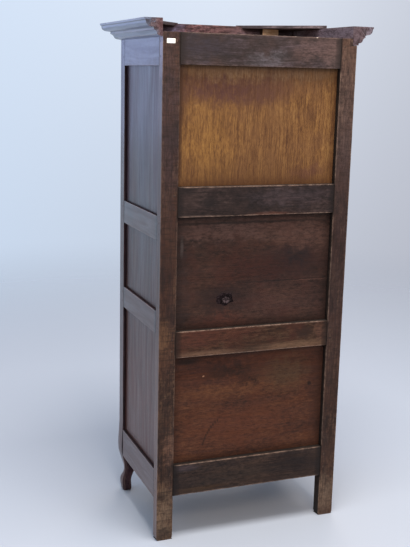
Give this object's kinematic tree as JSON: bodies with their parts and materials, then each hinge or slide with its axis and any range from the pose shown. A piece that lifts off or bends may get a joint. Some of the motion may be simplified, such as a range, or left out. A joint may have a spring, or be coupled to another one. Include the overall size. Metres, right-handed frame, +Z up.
{
  "type": "bonnetiere cabinet",
  "caption": "Tall, narrow one-door country cupboard in framed and panelled oak, with carved front feet and a loose moulded cornice.",
  "frame": {"origin": "on the floor, under the middle of the whole cupboard with its cornice", "axes": "+Z up, -Y the way the door faces, +X to the right of someone facing the door"},
  "size_m": [0.88, 0.576, 1.926],
  "materials": {
    "oak_show_faces": "old wax polish over dark oak",
    "oak_back_frame": "bare, dusty brown oak",
    "oak_back_panels": "bare sawn oak, golden to dark brown",
    "oak_inside": "bare oak, dry",
    "pale_pine": "raw pine",
    "dark_iron": "hand-forged, rubbed dark",
    "aged_brass": "worn, tarnished in the hollows"
  },
  "bodies": {
    "carcass": {"rear_post_left": "oak_back_frame", "rear_post_right": "oak_back_frame", "front_post_left": "oak_show_faces", "front_post_right": "oak_show_faces", "back_rail_bottom": "oak_back_frame", "back_rail_lower": "oak_back_frame", "back_rail_upper": "oak_back_frame", "back_rail_top": "oak_back_frame", "back_panel_lower": "oak_back_panels", "back_panel_middle": "oak_back_panels", "back_panel_upper": "oak_back_panels", "side_rail_bottom_left": "oak_show_faces", "side_rail_lower_left": "oak_show_faces", "side_rail_upper_left": "oak_show_faces", "side_rail_top_left": "oak_show_faces", "side_rail_bottom_right": "oak_show_faces", "side_rail_lower_right": "oak_show_faces", "side_rail_upper_right": "oak_show_faces", "side_rail_top_right": "oak_show_faces", "side_panel_lower_left": "oak_show_faces", "side_panel_middle_left": "oak_show_faces", "side_panel_upper_left": "oak_show_faces", "side_panel_lower_right": "oak_show_faces", "side_panel_middle_right": "oak_show_faces", "side_panel_upper_right": "oak_show_faces", "front_top_rail": "oak_show_faces", "front_apron": "oak_show_faces", "bottom_board": "oak_inside", "ceiling_board": "oak_inside", "shelf_lower": "oak_inside", "shelf_upper": "oak_inside", "shelf_cleat_lower_left": "oak_inside", "shelf_cleat_lower_right": "oak_inside", "shelf_cleat_upper_left": "oak_inside", "shelf_cleat_upper_right": "oak_inside", "hinge_lower_post_half": "dark_iron", "hinge_upper_post_half": "dark_iron"},
    "cornice": {"cornice_front": "oak_show_faces", "cornice_return_left": "oak_show_faces", "cornice_return_right": "oak_show_faces", "cornice_gusset_left": "oak_inside", "cornice_gusset_right": "oak_inside", "cornice_glue_block": "pale_pine"},
    "door": {"door_stile_hinge": "oak_show_faces", "door_stile_lock": "oak_show_faces", "door_rail_bottom": "oak_show_faces", "door_rail_lower": "oak_show_faces", "door_rail_upper": "oak_show_faces", "door_rail_top": "oak_show_faces", "door_panel_lower": "oak_show_faces", "door_panel_middle": "oak_show_faces", "door_panel_upper": "oak_show_faces", "hinge_lower_door_half": "dark_iron", "hinge_upper_door_half": "dark_iron", "lock_case": "dark_iron", "escutcheon": "aged_brass"},
    "bolt": {"lock_bolt": "dark_iron"},
    "key": {"key": "dark_iron"}
  },
  "joints": [
    {"name": "door_hinge", "type": "hinge", "parent": "carcass", "child": "door", "pos_m": [0.295, -0.2295, 1], "axis": [0, 0, 1], "range_deg": [0, 170]},
    {"name": "key_turn", "type": "hinge", "parent": "door", "child": "key", "pos_m": [-0.262, -0.222, 1.0175], "axis": [0, -1, 0], "range_deg": [0, 184]},
    {"name": "bolt_throw", "type": "slide", "parent": "door", "child": "bolt", "axis": [-1, 0, 0], "range_m": [0, 0.014]},
    {"name": "cornice_lift", "type": "slide", "parent": "carcass", "child": "cornice", "axis": [0, 0, 1], "range_m": [0, 0.08]}
  ],
  "couplings": [
    {"joint": "key_turn", "follows": "bolt_throw", "rad_per_m": 224.3}
  ]
}
